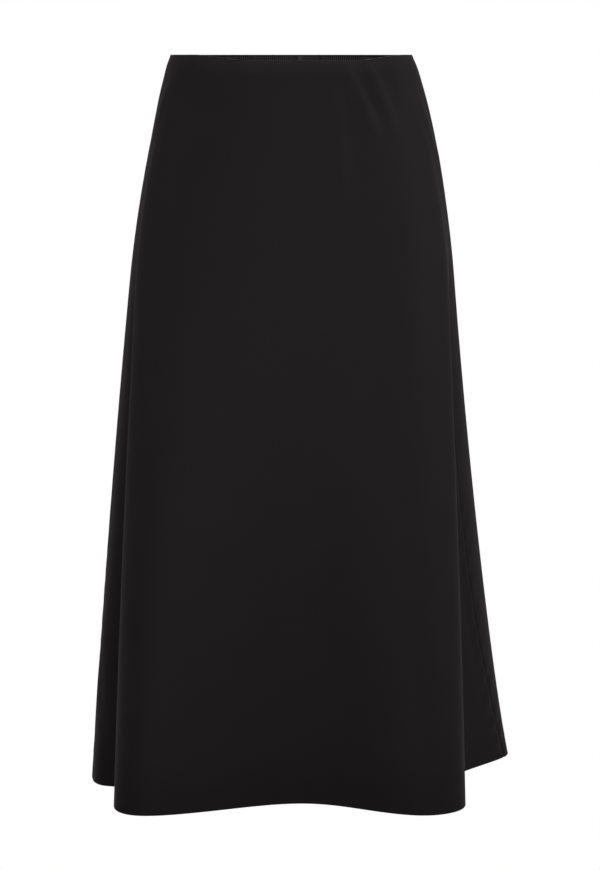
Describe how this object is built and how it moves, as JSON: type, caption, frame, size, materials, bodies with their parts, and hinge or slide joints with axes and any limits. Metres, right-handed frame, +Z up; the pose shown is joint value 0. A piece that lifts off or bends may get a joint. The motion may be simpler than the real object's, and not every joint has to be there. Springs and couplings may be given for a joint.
{
  "type": "pull-on a-line midi skirt, worn form",
  "caption": "Black pull-on A-line midi skirt with an elastic inside the waist and a flared, softly fluted hem, hollow as when worn.",
  "frame": {"origin": "centre of the waist, 3.4 mm below the top of its two sides and 2.7 mm above the middle of its front edge, where the wearer's waist holds the skirt", "axes": "+Z up, front of the skirt faces -Y, +X to the right of someone who looks at the front"},
  "size_m": [0.4653, 0.3958, 0.7848],
  "materials": {
    "black_cloth": "matte, smooth jersey crepe with a faint soft sheen",
    "black_elastic": "ribbed woven elastic, matte",
    "black_tape": "plain satin tape"
  },
  "bodies": {
    "root": {"front_panel": "black_cloth", "back_panel": "black_cloth", "waist_elastic": "black_elastic", "label": "black_tape"}
  },
  "joints": []
}
